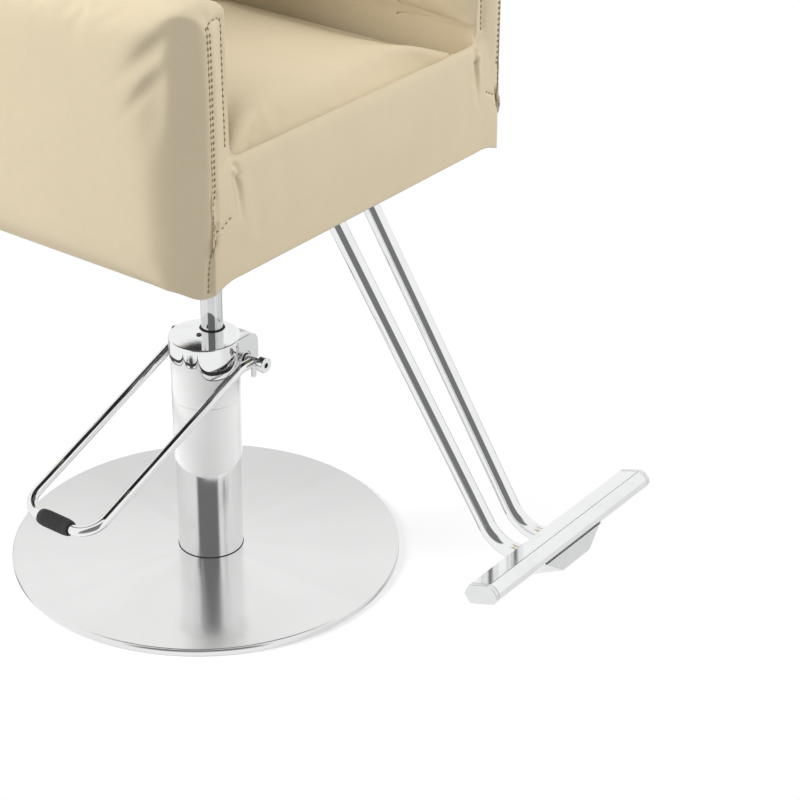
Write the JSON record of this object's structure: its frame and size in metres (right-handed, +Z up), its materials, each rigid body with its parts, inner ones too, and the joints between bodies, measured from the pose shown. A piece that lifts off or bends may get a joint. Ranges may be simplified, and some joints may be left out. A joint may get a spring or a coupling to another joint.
{
  "type": "hairdressing chair",
  "caption": "Padded armchair for hairdressing on a hydraulic pump column, with a round base, a foot lever and a bar footrest on bent tubes.",
  "frame": {"origin": "on the floor, under the ram's axis, at the underside of the base plate", "axes": "+Z up along the ram, +X to the front of the chair, +Y to the sitter's left"},
  "size_m": [0.9399, 0.6243, 1.1207],
  "materials": {
    "chrome": "polished",
    "brushed_steel": "brushed",
    "steel": "plain",
    "white_paint": "gloss",
    "leatherette": "fine grain, satin",
    "black_rubber": "matt",
    "black_cloth": "matt",
    "plywood": "raw",
    "aluminium": "bright",
    "brass": "turned"
  },
  "bodies": {
    "base": {"base_plate": "steel", "base_cover": "brushed_steel", "floor_ring": "black_rubber", "pump_foot": "steel", "base_bolt_1": "steel", "base_bolt_2": "steel", "base_bolt_3": "steel", "base_bolt_4": "steel", "pump_sleeve": "chrome", "pump_body": "white_paint", "ram_cylinder": "steel", "pump_head": "white_paint", "pivot_bush_front": "black_rubber", "pivot_bush_back": "black_rubber", "pump_cap": "chrome", "wiper_seal": "black_rubber", "oil_screw": "steel", "plunger_spring": "steel"},
    "lever": {"lever_rod": "chrome", "lever_grip": "black_rubber", "lever_hub_front": "chrome", "lever_hub_back": "chrome", "pivot_screw_front": "chrome", "pivot_screw_back": "chrome", "rocker_shaft": "steel", "pivot_pin": "steel", "release_tab": "steel", "rocker_arm": "steel"},
    "plunger": {"plunger": "steel"},
    "ram": {"ram": "chrome", "ram_piston": "brass"},
    "seat": {"seat_socket": "steel", "seat_plate": "steel", "dust_cover": "black_cloth", "seat_board": "plywood", "plate_bolt_1": "steel", "plate_bolt_2": "steel", "plate_bolt_3": "steel", "plate_bolt_4": "steel", "clamp_bolt_1": "steel", "clamp_bolt_2": "steel", "seat_cushion": "leatherette", "front_panel": "leatherette", "arm_left": "leatherette", "arm_right": "leatherette", "back_cushion": "leatherette", "back_shell": "leatherette", "back_strap_left": "steel", "back_strap_right": "steel", "footrest_tube_left": "chrome", "footrest_tube_right": "chrome", "tube_clamp": "steel", "footrest_bar": "aluminium", "bar_end_cap_left": "aluminium", "bar_end_cap_right": "aluminium", "toe_plate": "aluminium", "bar_screw_left": "steel", "bar_screw_right": "steel"}
  },
  "joints": [
    {"name": "ram_lift", "type": "slide", "parent": "base", "child": "ram", "axis": [0, 0, 1], "range_m": [-0.14, 0.004]},
    {"name": "seat_swivel", "type": "hinge", "parent": "ram", "child": "seat", "pos_m": [0, 0, 0.573], "axis": [0, 0, 1], "continuous": true},
    {"name": "lever_pump", "type": "hinge", "parent": "base", "child": "lever", "pos_m": [0.0065, 0.006, 0.29], "axis": [1, 0, 0], "range_deg": [-8, 18], "stiffness_Nm_per_rad": 40, "springref_deg": -2.29},
    {"name": "plunger_stroke", "type": "slide", "parent": "base", "child": "plunger", "axis": [0, 0, 1], "range_m": [-0.0096, 0.0046], "deforming": ["plunger_spring"]}
  ],
  "couplings": [
    {"joint": "plunger_stroke", "follows": "lever_pump", "m_per_rad": -0.03}
  ]
}
